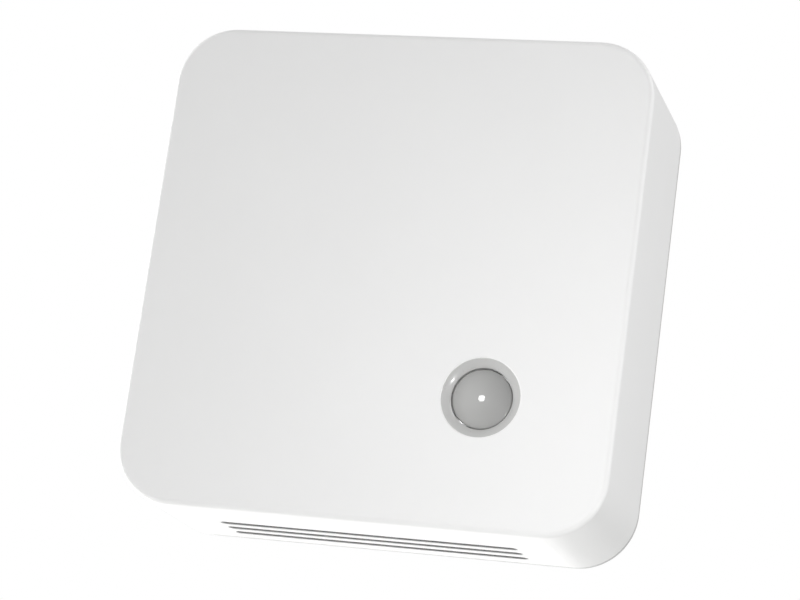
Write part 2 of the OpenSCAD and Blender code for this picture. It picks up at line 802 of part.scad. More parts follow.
wall_plate();
front_cover();
vent_filter();
lens_ring();
pir_lens();
pir_can();
pir_window();
pir_leads();
main_board();
board_screws();
battery_tray();
contact_plates();
cell_spring_1();
cell_spring_2();
cell_1_can();
cell_1_sleeve();
cell_1_terminal();
cell_2_can();
cell_2_sleeve();
cell_2_terminal();
radio_board();
radio_shield();
helical_antenna();
gas_sensor_pins();
gas_sensor_board();
gas_sensor_case();
gas_sensor_membrane();
climate_sensor();
microcontroller();
crystal();
reservoir_capacitor();
reset_switch_case();
reset_switch_plate();
reset_plunger();
nfc_loop();
light_sensor();
status_led();
board_passives();
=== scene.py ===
# %% [markdown]
# # A wall-mounted room sensor
# This lesson finishes a small white box that watches a room: it feels movement through a milky
# lens, and tastes the air through slots in its underside. The engineering model already has every
# piece at its true size. What is left is what an eye sees: the satin of moulded plastic, the lens
# with light and shade painted across it, dark foam behind the vents whose tone is painted shade,
# and green board and bright metal inside.
# The engineering pieces are loaded first, as a frame that is never moved.

# %% Load the frame
import json
import math
import random

import bmesh
import bpy
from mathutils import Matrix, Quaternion, Vector


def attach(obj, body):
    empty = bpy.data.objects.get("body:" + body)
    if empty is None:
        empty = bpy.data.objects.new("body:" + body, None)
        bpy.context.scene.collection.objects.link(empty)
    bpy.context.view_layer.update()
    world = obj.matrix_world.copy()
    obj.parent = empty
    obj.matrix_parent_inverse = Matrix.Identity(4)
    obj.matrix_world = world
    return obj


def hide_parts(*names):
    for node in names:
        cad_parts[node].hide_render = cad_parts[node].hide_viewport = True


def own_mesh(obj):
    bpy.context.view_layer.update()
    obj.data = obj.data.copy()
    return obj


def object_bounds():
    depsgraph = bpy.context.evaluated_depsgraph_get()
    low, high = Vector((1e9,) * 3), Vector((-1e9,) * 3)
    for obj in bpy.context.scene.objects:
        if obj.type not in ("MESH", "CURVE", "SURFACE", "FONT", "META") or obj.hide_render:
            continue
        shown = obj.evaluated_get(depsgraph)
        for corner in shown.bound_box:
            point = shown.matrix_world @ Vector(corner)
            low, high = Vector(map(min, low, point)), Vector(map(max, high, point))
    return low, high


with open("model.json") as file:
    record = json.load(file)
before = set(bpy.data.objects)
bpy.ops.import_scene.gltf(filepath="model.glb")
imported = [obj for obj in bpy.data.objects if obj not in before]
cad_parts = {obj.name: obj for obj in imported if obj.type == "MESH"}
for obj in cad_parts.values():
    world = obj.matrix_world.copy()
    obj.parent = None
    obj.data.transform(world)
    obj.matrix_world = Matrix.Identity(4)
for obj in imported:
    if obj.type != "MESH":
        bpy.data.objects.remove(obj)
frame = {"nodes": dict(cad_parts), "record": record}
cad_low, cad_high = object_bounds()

MM = 0.001
centre = (cad_low + cad_high) / 2
front = cad_low.y
print("case", [round(side / MM, 1) for side in cad_high - cad_low], "mm,", len(frame["nodes"]), "nodes")

# %% [markdown]
# ## The camera
# A product picture of a small object is taken with a long lens from half a metre away, so that
# the box's edges stay nearly parallel. This one looks up from below and from the right, which
# shows the slots in the underside, and the box leans a little in the picture.
# The direction is kept as two angles and a distance. That is easier to read and to change than
# a matrix, and the aim is a point on the front of the box.

# %% Camera
CAMERA_AZIMUTH = 16.79
CAMERA_ELEVATION = -14.21
CAMERA_DISTANCE = 497 * MM
CAMERA_ROLL = 8.33
CAMERA_LENS = 128.2
CAMERA_AIM = Vector((-11.18 * MM, front, -0.36 * MM))
CAMERA_SHIFT = (0.1, -0.0375)


def toward(azimuth, elevation):
    """Direction out of the front: azimuth turns to the right of it, elevation turns up."""
    a, e = math.radians(azimuth), math.radians(elevation)
    return Vector((math.sin(a) * math.cos(e), -math.cos(a) * math.cos(e), math.sin(e)))


def face(item, target, roll=0.0):
    """Turns a camera or light so that it looks at the target."""
    item.rotation_mode = "QUATERNION"
    aim = (target - item.location).to_track_quat("-Z", "Y")
    item.rotation_quaternion = aim @ Quaternion((0, 0, 1), math.radians(roll))


camera_data = bpy.data.cameras.new("camera")
camera_data.lens = CAMERA_LENS
camera_data.shift_x, camera_data.shift_y = CAMERA_SHIFT
camera_data.clip_start, camera_data.clip_end = 0.01, 50
camera = bpy.data.objects.new("camera", camera_data)
bpy.context.scene.collection.objects.link(camera)
camera.location = centre + toward(CAMERA_AZIMUTH, CAMERA_ELEVATION) * CAMERA_DISTANCE
face(camera, CAMERA_AIM, CAMERA_ROLL)
bpy.context.scene.camera = camera
print("camera at", [round(v / MM) for v in camera.location], "mm")

# %% [markdown]
# ## The light
# White plastic on a white ground is lit by a bright tent all round, which gives the even pale
# grey of its shaded sides. Four large lamps stand round it. The strongest is low on the left and
# washes the underside out to pure white. Two weak lamps close to the lower right corner make the
# front brighten towards it. They and the left lamp are kept out of reflections. Two small discs
# do the opposite: they show only in reflections, as the round dot on the lens and a spark on its
# ring.
# The tent is the world's background. What the camera sees of it is pure white, and what lights
# the object is a little dimmer, so the box stands out from the ground.

# %% World
TENT_LIGHT = 0.61
TENT_SEEN = 1.0
bpy.context.scene.view_settings.view_transform = "Standard"

world = bpy.data.worlds.new("tent")
bpy.context.scene.world = world
world.use_nodes = True
sky = world.node_tree
sky.nodes.clear()
sky_out = sky.nodes.new("ShaderNodeOutputWorld")
sky_mix = sky.nodes.new("ShaderNodeMixShader")
sky_path = sky.nodes.new("ShaderNodeLightPath")
sky.links.new(sky_path.outputs["Is Camera Ray"], sky_mix.inputs["Fac"])
for place, strength in ((1, TENT_LIGHT), (2, TENT_SEEN)):
    tent = sky.nodes.new("ShaderNodeBackground")
    tent.inputs["Color"].default_value = (1, 1, 1, 1)
    tent.inputs["Strength"].default_value = strength
    sky.links.new(tent.outputs[0], sky_mix.inputs[place])
sky.links.new(sky_mix.outputs[0], sky_out.inputs["Surface"])

# %% Lamps
def lamp(name, place, target, power, width, shape="RECTANGLE"):
    """A soft lamp: a glowing square or disc that faces the target."""
    data = bpy.data.lights.new(name, "AREA")
    data.shape = shape
    data.size = width
    if shape == "RECTANGLE":
        data.size_y = width
    data.energy = power
    item = bpy.data.objects.new(name, data)
    bpy.context.scene.collection.objects.link(item)
    item.location = place
    face(item, target)
    return item


STUDIO_REACH, STUDIO_SIDE, CORNER_SIDE = 0.80, 0.50, 0.08
# each large lamp: azimuth, elevation and power
STUDIO = {"low_left": (-120, -30, 16.5), "left": (-90, 0, 6.8),
          "high_right": (90, 40, 2.1), "behind": (180, -30, 1.15)}
for name, (azimuth, elevation, power) in STUDIO.items():
    soft = lamp(name, centre + toward(azimuth, elevation) * STUDIO_REACH, centre, power, STUDIO_SIDE)
    soft.visible_glossy = name != "left"

# each corner lamp: its place and its target in millimetres, and its power
CORNER = {"corner_near": ((43, -120, -70), (34, -28, -49), 0.011),
          "corner_soft": ((80, -150, -30), (64, -28, -21), 0.056)}
for name, (place, target, power) in CORNER.items():
    fill = lamp(name, Vector(place) * MM, Vector(target) * MM, power, CORNER_SIDE)
    fill.visible_glossy = False

LENS_AXIS = Vector((19.8, 0.0, -20.5)) * MM
lens_at = LENS_AXIS + Vector((0, front, 0))
# each disc: its direction from the lens, its distance, its width and its power
GLINTS = {"dot": ((-0.21, -0.95, 0.19), 0.60, 0.110, 0.60),
          "spark": ((0.70, -0.66, -0.28), 0.50, 0.040, 0.90)}
for name, (way, distance, width, power) in GLINTS.items():
    glint = lamp(name, lens_at + Vector(way).normalized() * distance, lens_at, power, width, shape="DISK")
    glint.visible_diffuse = False

# %% [markdown]
# ## The floor
# The sensor hangs on a wall, so it stands on nothing. A pale floor a little way below it gives
# the light something to bounce from and shows where down is when the box is turned.

# %% Floor
FLOOR_DROP = 0.30
FLOOR_SIZE = 6.0
bpy.ops.mesh.primitive_grid_add(x_subdivisions=24, y_subdivisions=24, size=FLOOR_SIZE)
floor = bpy.context.object
floor.name = "floor"
floor.location = (0, 0, cad_low.z - FLOOR_DROP)

# %% [markdown]
# ## Node helpers
# Every finish below is a small network of nodes. Two short helpers keep the networks readable:
# one adds a node and sets its fields, and one starts a shared group with named sockets.

# %% Node helpers
def add(tree, kind, links=(), **values):
    """A node of that kind. Values go to its fields or sockets, and links are (socket, output)."""
    node = tree.nodes.new(kind)
    for name, value in values.items():
        label = name.replace("_", " ").title()
        if hasattr(node, name):
            setattr(node, name, value)
        else:
            node.inputs[label].default_value = value
    for socket, output in links:
        tree.links.new(output, node.inputs[socket])
    return node


def group(name, inputs, outputs):
    """A node group with number inputs and named outputs, and its two ends."""
    tree = bpy.data.node_groups.new(name, "ShaderNodeTree")
    for label, value in inputs.items():
        socket = tree.interface.new_socket(label, in_out="INPUT", socket_type="NodeSocketFloat")
        socket.default_value = value
    for label in outputs:
        tree.interface.new_socket(label, in_out="OUTPUT", socket_type="NodeSocketFloat")
    return tree, tree.nodes.new("NodeGroupInput"), tree.nodes.new("NodeGroupOutput")


def maths(tree, operation, first, second=None, clamp=False):
    """A sum on two numbers or outputs. Gives the result's socket."""
    node = add(tree, "ShaderNodeMath", operation=operation, use_clamp=clamp)
    for index, value in enumerate((first, second)):
        if isinstance(value, (int, float)):
            node.inputs[index].default_value = value
        elif value is not None:
            tree.links.new(value, node.inputs[index])
    return node.outputs[0]


# %% [markdown]
# ## Shared effect: moulded grain
# A steel mould for a housing is spark-eroded, and the plastic copies its fine pebbled skin. The
# pebbles are about a tenth of a millimetre wide. Over centimetres the skin also varies a little
# in gloss, because the melt cools unevenly. Both are noise, at two scales, so one group serves
# every moulded piece and each material sets its own sizes.

# %% Moulded grain
grain, grain_in, grain_out = group(
    "moulded_grain", {"Pebble mm": 0.16, "Cloud mm": 18.0, "Cloud": 0.03}, ["Height", "Shade", "Gloss"])
place = add(grain, "ShaderNodeTexCoord").outputs["Object"]
pebble_scale = maths(grain, "DIVIDE", 1 / MM, grain_in.outputs["Pebble mm"])
cloud_scale = maths(grain, "DIVIDE", 1 / MM, grain_in.outputs["Cloud mm"])
pebbles = add(grain, "ShaderNodeTexNoise", [("Vector", place), ("Scale", pebble_scale)],
              detail=2.0, roughness=0.55)
clouds = add(grain, "ShaderNodeTexNoise", [("Vector", place), ("Scale", cloud_scale)],
             detail=3.0, roughness=0.5)
cloud_swing = maths(grain, "SUBTRACT", clouds.outputs["Fac"], 0.5)
cloud_part = maths(grain, "MULTIPLY", cloud_swing, grain_in.outputs["Cloud"])
pebble_swing = maths(grain, "SUBTRACT", pebbles.outputs["Fac"], 0.5)
grain.links.new(pebbles.outputs["Fac"], grain_out.inputs["Height"])
grain.links.new(maths(grain, "ADD", 1.0, cloud_part), grain_out.inputs["Shade"])
pebble_part = maths(grain, "MULTIPLY", pebble_swing, 0.12)
grain.links.new(maths(grain, "ADD", cloud_part, pebble_part), grain_out.inputs["Gloss"])
print("group", grain.name)

# %% [markdown]
# ## Shared effect: worn and highlighted edges
# Hands rub the corners of a housing, which polishes them and, on dark plastic, lightens them.
# On white plastic the lighter edge colour is a painted highlight.
# A bevel node gives a surface direction that bends near edges. Where that differs from the true
# direction there is an edge, and noise breaks the line up so that it doesn't look drawn on.

# %% Worn and highlighted edges
wear_and_highlight, wear_and_highlight_in, wear_and_highlight_out = group("worn_and_highlit_edges", {"Width mm": 0.25, "Patchiness mm": 3.0}, ["Edge"])
wear_radius = maths(wear_and_highlight, "DIVIDE", wear_and_highlight_in.outputs["Width mm"], 1 / MM)
bent = add(wear_and_highlight, "ShaderNodeBevel", [("Radius", wear_radius)], samples=4)
true_way = add(wear_and_highlight, "ShaderNodeNewGeometry").outputs["Normal"]
match = add(wear_and_highlight, "ShaderNodeVectorMath", [(0, bent.outputs["Normal"]), (1, true_way)],
            operation="DOT_PRODUCT")
off = maths(wear_and_highlight, "SUBTRACT", 1.0, match.outputs["Value"])
wear_place = add(wear_and_highlight, "ShaderNodeTexCoord").outputs["Object"]
patch_scale = maths(wear_and_highlight, "DIVIDE", 1 / MM, wear_and_highlight_in.outputs["Patchiness mm"])
patches = add(wear_and_highlight, "ShaderNodeTexNoise", [("Vector", wear_place), ("Scale", patch_scale)], detail=4.0)
# lighter edges: rubbed wear on dark plastic, a painted highlight on light plastic
wear_and_highlight_mask = maths(wear_and_highlight, "MULTIPLY", maths(wear_and_highlight, "MULTIPLY", off, 8.0, clamp=True), patches.outputs["Fac"])
wear_and_highlight.links.new(wear_and_highlight_mask, wear_and_highlight_out.inputs["Edge"])
print("group", wear_and_highlight.name)

# %% [markdown]
# ## Shared effect: metal skin
# Plated and rolled metal shows fine lines along its length. The lines are noise squeezed hard in
# two directions, and they change both the gloss and, very slightly, the height.

# %% Metal skin
skin, skin_in, skin_out = group(
    "metal_skin", {"Line mm": 0.08, "Stretch": 12.0, "Stain mm": 4.0}, ["Height", "Shade", "Gloss"])
skin_place = add(skin, "ShaderNodeTexCoord").outputs["Object"]
squeeze = add(skin, "ShaderNodeCombineXYZ", y=1.0, z=1.0)
skin.links.new(maths(skin, "DIVIDE", 1.0, skin_in.outputs["Stretch"]), squeeze.inputs["X"])
squeezed = add(skin, "ShaderNodeVectorMath", [(0, skin_place), (1, squeeze.outputs[0])],
               operation="MULTIPLY")
line_scale = maths(skin, "DIVIDE", 1 / MM, skin_in.outputs["Line mm"])
stain_scale = maths(skin, "DIVIDE", 1 / MM, skin_in.outputs["Stain mm"])
lines = add(skin, "ShaderNodeTexNoise", [("Vector", squeezed.outputs[0]), ("Scale", line_scale)],
            detail=3.0)
stains = add(skin, "ShaderNodeTexNoise", [("Vector", skin_place), ("Scale", stain_scale)], detail=4.0)
line_swing = maths(skin, "SUBTRACT", lines.outputs["Fac"], 0.5)
stain_swing = maths(skin, "SUBTRACT", stains.outputs["Fac"], 0.5)
skin.links.new(lines.outputs["Fac"], skin_out.inputs["Height"])
stain_part = maths(skin, "MULTIPLY", stain_swing, 0.25)
line_part = maths(skin, "MULTIPLY", line_swing, 0.2)
skin.links.new(maths(skin, "ADD", 1.0, stain_part), skin_out.inputs["Shade"])
skin.links.new(maths(skin, "ADD", line_part, stain_part), skin_out.inputs["Gloss"])
print("group", skin.name)

# %% [markdown]
# ## Plastics and metals from the groups
# Most finishes differ only in colour, gloss and how deep their texture is, so two makers build
# most of them. Each one keeps its own shader, and the groups feed it: shade into the colour, gloss into
# the roughness, and height through a bump node. A constant such as the coat is set straight on
# the shader.

# %% Makers of plastic and metal
MIX_FACTOR, MIX_FIRST, MIX_SECOND, MIX_RESULT = 0, 6, 7, 2  # the colour sockets of a mix node


def begin(name):
    """A new material: its node tree, and its shader."""
    material = bpy.data.materials.new(name)
    material.use_nodes = True
    return material, material.node_tree, material.node_tree.nodes["Principled BSDF"]


def use(tree, shared, **values):
    """Places a shared group in a material and sets its inputs."""
    node = tree.nodes.new("ShaderNodeGroup")
    node.node_tree = shared
    for name, value in values.items():
        node.inputs[name.replace("_", " ")].default_value = value
    return node


def tinted(tree, colour, factor):
    """The colour times a number that changes over the surface."""
    product = add(tree, "ShaderNodeVectorMath", [(1, factor)], operation="MULTIPLY")
    product.inputs[0].default_value = colour
    return product.outputs[0]


def mixed(tree, share, base, other):
    """The base colour, changing to the other colour where share is 1."""
    blend = tree.nodes.new("ShaderNodeMix")
    blend.data_type = "RGBA"
    tree.links.new(share, blend.inputs[MIX_FACTOR])
    tree.links.new(base, blend.inputs[MIX_FIRST])
    blend.inputs[MIX_SECOND].default_value = (*other, 1)
    return blend.outputs[MIX_RESULT]


def roughen(tree, shader, height, depth):
    """Gives the shader a bump whose height is in millimetres."""
    bump = add(tree, "ShaderNodeBump", [("Height", height)], distance=depth * MM, strength=1.0)
    tree.links.new(bump.outputs[0], shader.inputs["Normal"])


def plastic(name, colour, roughness, pebble=0.16, depth=0.012, cloud=0.03, coat=0.0,
            edge_wear_and_highlight=None, edge_wear_and_highlight_share=0.5):
    """Moulded plastic. Depth is the bump's height in mm. The edge colour is rubbed wear on dark plastic
    and a painted highlight on light plastic.
    """
    material, tree, shader = begin(name)
    skin_node = use(tree, grain, Pebble_mm=pebble, Cloud=cloud)
    base = tinted(tree, colour, skin_node.outputs["Shade"])
    gloss = maths(tree, "ADD", skin_node.outputs["Gloss"], roughness, clamp=True)
    if edge_wear_and_highlight:
        edges = use(tree, wear_and_highlight)
        share = maths(tree, "MULTIPLY", edges.outputs["Edge"], edge_wear_and_highlight_share, clamp=True)
        # edge colour: rubbed wear on dark plastic, a painted highlight on light plastic
        base = mixed(tree, share, base, edge_wear_and_highlight)
        gloss = maths(tree, "SUBTRACT", gloss, maths(tree, "MULTIPLY", share, 0.2), clamp=True)
    tree.links.new(base, shader.inputs["Base Color"])
    tree.links.new(gloss, shader.inputs["Roughness"])
    roughen(tree, shader, skin_node.outputs["Height"], depth)
    shader.inputs["Coat Weight"].default_value = coat
    shader.inputs["Coat Roughness"].default_value = 0.06
    return material


def metal(name, colour, roughness, line=0.08, stretch=12.0, stain=4.0, depth=0.002):
    """Plated or rolled metal."""
    material, tree, shader = begin(name)
    skin_node = use(tree, skin, Line_mm=line, Stretch=stretch, Stain_mm=stain)
    tree.links.new(tinted(tree, colour, skin_node.outputs["Shade"]), shader.inputs["Base Color"])
    gloss = maths(tree, "ADD", skin_node.outputs["Gloss"], roughness, clamp=True)
    tree.links.new(gloss, shader.inputs["Roughness"])
    roughen(tree, shader, skin_node.outputs["Height"], depth)
    shader.inputs["Metallic"].default_value = 1.0
    return material


# %% [markdown]
# ## Finishes that change across a piece
# Three finishes need more than an even skin. The milky lens has painted light and shade: it is
# lighter on its left side and darker on its right. A cell's sleeve is printed with a band at its plus
# end. Foam is all pores, and its dark tone and darker pores are painted shade. The first two start
# from the plastic maker and change its colour with the place along X, and the foam multiplies two
# sizes of cell pattern, which leaves strands between round holes.

# %% Makers of the lens, the cell sleeves and the foam
def reopened(material):
    """A material's tree, its shader, what feeds its colour, and the place along X."""
    tree = material.node_tree
    shader = tree.nodes["Principled BSDF"]
    where = add(tree, "ShaderNodeTexCoord").outputs["Object"]
    place = add(tree, "ShaderNodeSeparateXYZ", [("Vector", where)])
    return tree, shader, shader.inputs["Base Color"].links[0].from_socket, place.outputs["X"]


def milky_with_painted_light(name, colour, centre_x, painted_light_slope):
    """Milky plastic with painted light and shade: its tone falls off across it, lighter on the left."""
    material = plastic(name, colour, 0.5, pebble=0.4, depth=0.0005, cloud=0.04, coat=1.0)
    tree, shader, base, across = reopened(material)
    # painted light and shade: the colour is lighter left of centre_x and darker right of it
    offset = maths(tree, "MULTIPLY", maths(tree, "SUBTRACT", across, centre_x), -painted_light_slope / MM)
    factor = maths(tree, "ADD", 1.0, offset)
    painted_light_colour = add(tree, "ShaderNodeVectorMath", [(0, base), (1, factor)], operation="MULTIPLY")
    tree.links.new(painted_light_colour.outputs[0], shader.inputs["Base Color"])
    return material


def sleeve(name, colour, band, edge, sign):
    """Printed shrink sleeve: beyond edge, in mm toward its plus end, it has another colour."""
    material = plastic(name, colour, 0.2, pebble=1.5, depth=0.01, coat=0.7)
    tree, shader, base, across = reopened(material)
    place_x = maths(tree, "MULTIPLY", across, sign / MM)
    share = maths(tree, "MULTIPLY", maths(tree, "SUBTRACT", place_x, edge), 20.0, clamp=True)
    tree.links.new(mixed(tree, share, base, band), shader.inputs["Base Color"])
    return material


def foam_with_painted_shade(name, colour):
    """Open-cell foam: round pores at two sizes with bright strands between them; its dark tone and darker
    pores are painted shade.
    """
    material, tree, shader = begin(name)
    where = add(tree, "ShaderNodeTexCoord").outputs["Object"]
    wide = add(tree, "ShaderNodeTexVoronoi", [("Vector", where)], scale=1 / (0.55 * MM))
    fine = add(tree, "ShaderNodeTexVoronoi", [("Vector", where)], scale=1 / (0.22 * MM))
    pores = maths(tree, "MULTIPLY", wide.outputs["Distance"], fine.outputs["Distance"])
    strand_and_painted_pore_shade = maths(tree, "MULTIPLY", pores, 2.2, clamp=True)
    # painted shade: the foam is dark overall and darker still in its pores
    tree.links.new(tinted(tree, colour, maths(tree, "ADD", 0.25, strand_and_painted_pore_shade)), shader.inputs["Base Color"])
    roughen(tree, shader, strand_and_painted_pore_shade, 0.15)
    shader.inputs["Roughness"].default_value = 0.95
    return material


# %% Finishes
CELL_GREEN, CELL_BAND, BAND_EDGE = (0.02, 0.16, 0.08), (0.62, 0.34, 0.14), 12.0
finishes = {
    # the lighter edge colours of the cover and the plate are painted highlights along their edges
    "cover_white": plastic("cover_white", (0.82, 0.82, 0.82), 0.46,
        edge_wear_and_highlight=(0.86, 0.86, 0.85), edge_wear_and_highlight_share=0.3),
    # a light grey plate, darker than the cover so that its edge behind the rim paints the shade there
    "plate_white": plastic("plate_white", (0.56, 0.56, 0.555), 0.55,
        edge_wear_and_highlight=(0.66, 0.66, 0.65), edge_wear_and_highlight_share=0.3),
    # a grey ring, darker than the cover so that it also paints the shade inside the lens recess
    "ring_grey": plastic("ring_grey", (0.50, 0.50, 0.495), 0.3, pebble=0.4, depth=0.0003, coat=0.5),
    # the lens colour carries painted light and shade, lighter on its left
    "lens_grey": milky_with_painted_light("lens_grey", (0.385, 0.385, 0.38), LENS_AXIS.x, 0.045),
    # the foam's dark grey is painted shade for the inside of the vent slots
    "filter_grey": foam_with_painted_shade("filter_grey", (0.11, 0.11, 0.113)),
    "window_dark": plastic("window_dark", (0.03, 0.032, 0.045), 0.1, depth=0.0005, coat=1.0),
    "board_green": plastic("board_green", (0.012, 0.13, 0.055), 0.25,
        pebble=0.35, depth=0.003, cloud=0.25, coat=0.4),
    "module_blue": plastic("module_blue", (0.01, 0.045, 0.16), 0.25,
        pebble=0.35, depth=0.003, cloud=0.25, coat=0.4),
    "tray_black": plastic("tray_black", (0.018, 0.018, 0.02), 0.5,
        pebble=0.2, depth=0.01, edge_wear_and_highlight=(0.07, 0.07, 0.075)),
    "sleeve_green": sleeve("sleeve_green", CELL_GREEN, CELL_BAND, BAND_EDGE, 1.0),
    "sensor_case_white": plastic("sensor_case_white", (0.76, 0.76, 0.72), 0.4),
    "membrane_white": plastic("membrane_white", (0.85, 0.85, 0.82), 0.8, pebble=0.3, depth=0.05),
    "chip_black": plastic("chip_black", (0.02, 0.02, 0.022), 0.55, pebble=0.12, depth=0.006),
    "capacitor_blue": plastic("capacitor_blue", (0.015, 0.025, 0.14), 0.22,
        pebble=1.2, depth=0.01, coat=0.6),
    "diode_clear": plastic("diode_clear", (0.72, 0.70, 0.55), 0.12, depth=0.001, coat=1.0),
    "passive_tan": plastic("passive_tan", (0.30, 0.21, 0.13), 0.4, pebble=0.2),
    "can_steel": metal("can_steel", (0.70, 0.69, 0.66), 0.25),
    "gold_plate": metal("gold_plate", (0.86, 0.62, 0.27), 0.25),
    "screw_zinc": metal("screw_zinc", (0.62, 0.64, 0.68), 0.3, stretch=2.0),
    "contact_nickel": metal("contact_nickel", (0.72, 0.70, 0.66), 0.22),
    "cell_nickel": metal("cell_nickel", (0.72, 0.70, 0.66), 0.24),
    "shield_tin": metal("shield_tin", (0.74, 0.74, 0.73), 0.34, stain=2.0),
    "loop_copper": metal("loop_copper", (0.80, 0.40, 0.22), 0.35),
}
print(len(finishes), "finishes")

# %% [markdown]
# ## Dressing the engineering pieces
# The engineering meshes stay as they are. They get their finish, smooth shading where a face is
# really curved, and a modifier that stops flat faces from looking puffed beside rounded edges.

# %% Smooth shading and finishes for the engineering pieces
SHARP = math.radians(28)
WIRE_SHARP = math.radians(50)


def smooth(piece):
    """Shades curved faces as curves, and keeps real corners crisp."""
    mesh = piece.data
    mesh.shade_smooth()
    mesh.set_sharp_from_angle(angle=SHARP)
    weigh = piece.modifiers.new("flat_faces_stay_flat", "WEIGHTED_NORMAL")
    weigh.keep_sharp = True
    weigh.weight = 100


slots = {row["node"]: row["material_slot"] for row in frame["record"]["subparts"]}
for name, piece in frame["nodes"].items():
    for holder in piece.material_slots:
        holder.material = finishes[slots[name]]
    smooth(piece)
turned_cell = sleeve("sleeve_green_turned", CELL_GREEN, CELL_BAND, BAND_EDGE, -1.0)
frame["nodes"]["cell_2_sleeve"].material_slots[0].material = turned_cell
print("dressed", len(slots), "pieces")

# %% [markdown]
# ## The lens and its ring
# The lens is a thin dome of milky plastic that gathers body heat onto the sensor behind it. It is
# moulded in one piece with a skirt, a flange and two legs that carry light to and from the board.
# The engineering solids are cut into flats, which break up a crisp reflection. So both pieces are
# turned again here as lathed surfaces of the same section, in steps too fine to see. A lathe is
# the right tool, because both pieces are round about the axis that the lens looks along.

# %% Lathe
LENS_STEPS = 192
ON_AXIS = 1e-6                     # a radius below this is a point on the axis


def built(name, shape):
    """Turns the shape under construction into a piece of the scene."""
    mesh = bpy.data.meshes.new(name)
    bmesh.ops.recalc_face_normals(shape, faces=shape.faces)
    shape.to_mesh(mesh)
    shape.free()
    piece = bpy.data.objects.new(name, mesh)
    bpy.context.scene.collection.objects.link(piece)
    return piece


def shade(piece, sharp):
    """Shades a made piece smooth, up to the angle at which an edge stays sharp."""
    piece.data.shade_smooth()
    piece.data.set_sharp_from_angle(angle=sharp)


def arc(centre_r, centre_d, radius, start, stop, steps):
    """Points of an arc as (radius, depth) in millimetres. Angles are from the axis outward."""
    angles = [math.radians(start + (stop - start) * i / steps) for i in range(steps + 1)]
    return [(centre_r + radius * math.sin(a), centre_d + radius * math.cos(a)) for a in angles]


def lathe(name, section, axis=LENS_AXIS, steps=LENS_STEPS):
    """Turns a closed section of (radius, depth) in millimetres about the depth direction."""
    shape = bmesh.new()
    turns = [math.tau * k / steps for k in range(steps)]
    rings = []
    for r, depth in section:
        if r < ON_AXIS:
            rings.append([shape.verts.new((axis.x, -depth * MM, axis.z))] * steps)
            continue
        ring = [(axis.x + r * MM * math.cos(t), -depth * MM, axis.z + r * MM * math.sin(t)) for t in turns]
        rings.append([shape.verts.new(point) for point in ring])
    for here, there in zip(rings, rings[1:] + rings[:1]):
        for k in range(steps):
            corners = (here[k], here[(k + 1) % steps], there[(k + 1) % steps], there[k])
            loop = [v for i, v in enumerate(corners) if v is not corners[i - 1]]
            if len(set(loop)) >= 3:
                shape.faces.new(loop)
    piece = built(name, shape)
    shade(piece, SHARP)
    return piece


# %% Lens ring
RING = {"outer": 6.8, "inner": 5.3, "top": 27.855, "low": 26.95, "floor": 26.3, "first_tilt": 18.0}
RING_FLAT = 0.08                   # level strip at the ring's outer edge
ring_wide = RING["outer"] - RING["inner"] - RING_FLAT
ring_deep = RING["top"] - RING["low"]
last_tilt = 2 * math.degrees(math.atan2(ring_deep, ring_wide)) - RING["first_tilt"]
bowl = ring_wide / (math.sin(math.radians(last_tilt)) - math.sin(math.radians(RING["first_tilt"])))
bowl_r = RING["inner"] + bowl * math.sin(math.radians(last_tilt))
bowl_d = RING["top"] - bowl * math.cos(math.radians(RING["first_tilt"]))
face_arc = arc(bowl_r, bowl_d, bowl, -last_tilt, -RING["first_tilt"], 24)
ring_section = [(RING["inner"], RING["floor"])] + face_arc
ring_section += [(RING["outer"], RING["top"]), (RING["outer"], RING["floor"])]
lens_ring = lathe("lens_ring_turned", ring_section)
lens_ring.data.materials.append(finishes["ring_grey"])
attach(lens_ring, "sensor_unit")
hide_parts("lens_ring")
print("ring tilts from", RING["first_tilt"], "to", round(last_tilt), "degrees")

# %% Lens
DOME = {"rim": 5.15, "height": 1.25, "crown": 27.85, "wall": 0.4, "flank": 0.35}
ball = (DOME["rim"] ** 2 + DOME["height"] ** 2) / (2 * DOME["height"])
inner_rim = DOME["rim"] - DOME["wall"]
inner_angle = math.degrees(math.asin(inner_rim / ball))
turn_angle = math.degrees(math.asin((DOME["rim"] - DOME["flank"]) / (ball - DOME["flank"])))
outer_dome = arc(0.0, DOME["crown"] - ball, ball, 0.0, turn_angle, 40)
flank_d = DOME["crown"] - ball + (ball - DOME["flank"]) * math.cos(math.radians(turn_angle))
outer_dome += arc(DOME["rim"] - DOME["flank"], flank_d, DOME["flank"], turn_angle, 90, 8)[1:]
inner_dome = arc(0.0, DOME["crown"] - DOME["wall"] - ball, ball, inner_angle, 0.0, 40)
FLANGE_R, FLANGE_TOP, FLANGE_UNDER, SKIRT_END = 6.4, 25.8, 25.0, 21.6
flange = [(DOME["rim"], FLANGE_TOP), (FLANGE_R, FLANGE_TOP), (FLANGE_R, FLANGE_UNDER),
          (DOME["rim"], FLANGE_UNDER), (DOME["rim"], SKIRT_END), (inner_rim, SKIRT_END)]
lens = lathe("lens_moulding", outer_dome + flange + inner_dome)
lens.data.materials.append(finishes["lens_grey"])
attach(lens, "sensor_unit")
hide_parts("pir_lens")
print("dome of", round(ball, 1), "mm radius,", len(lens.data.polygons), "faces")

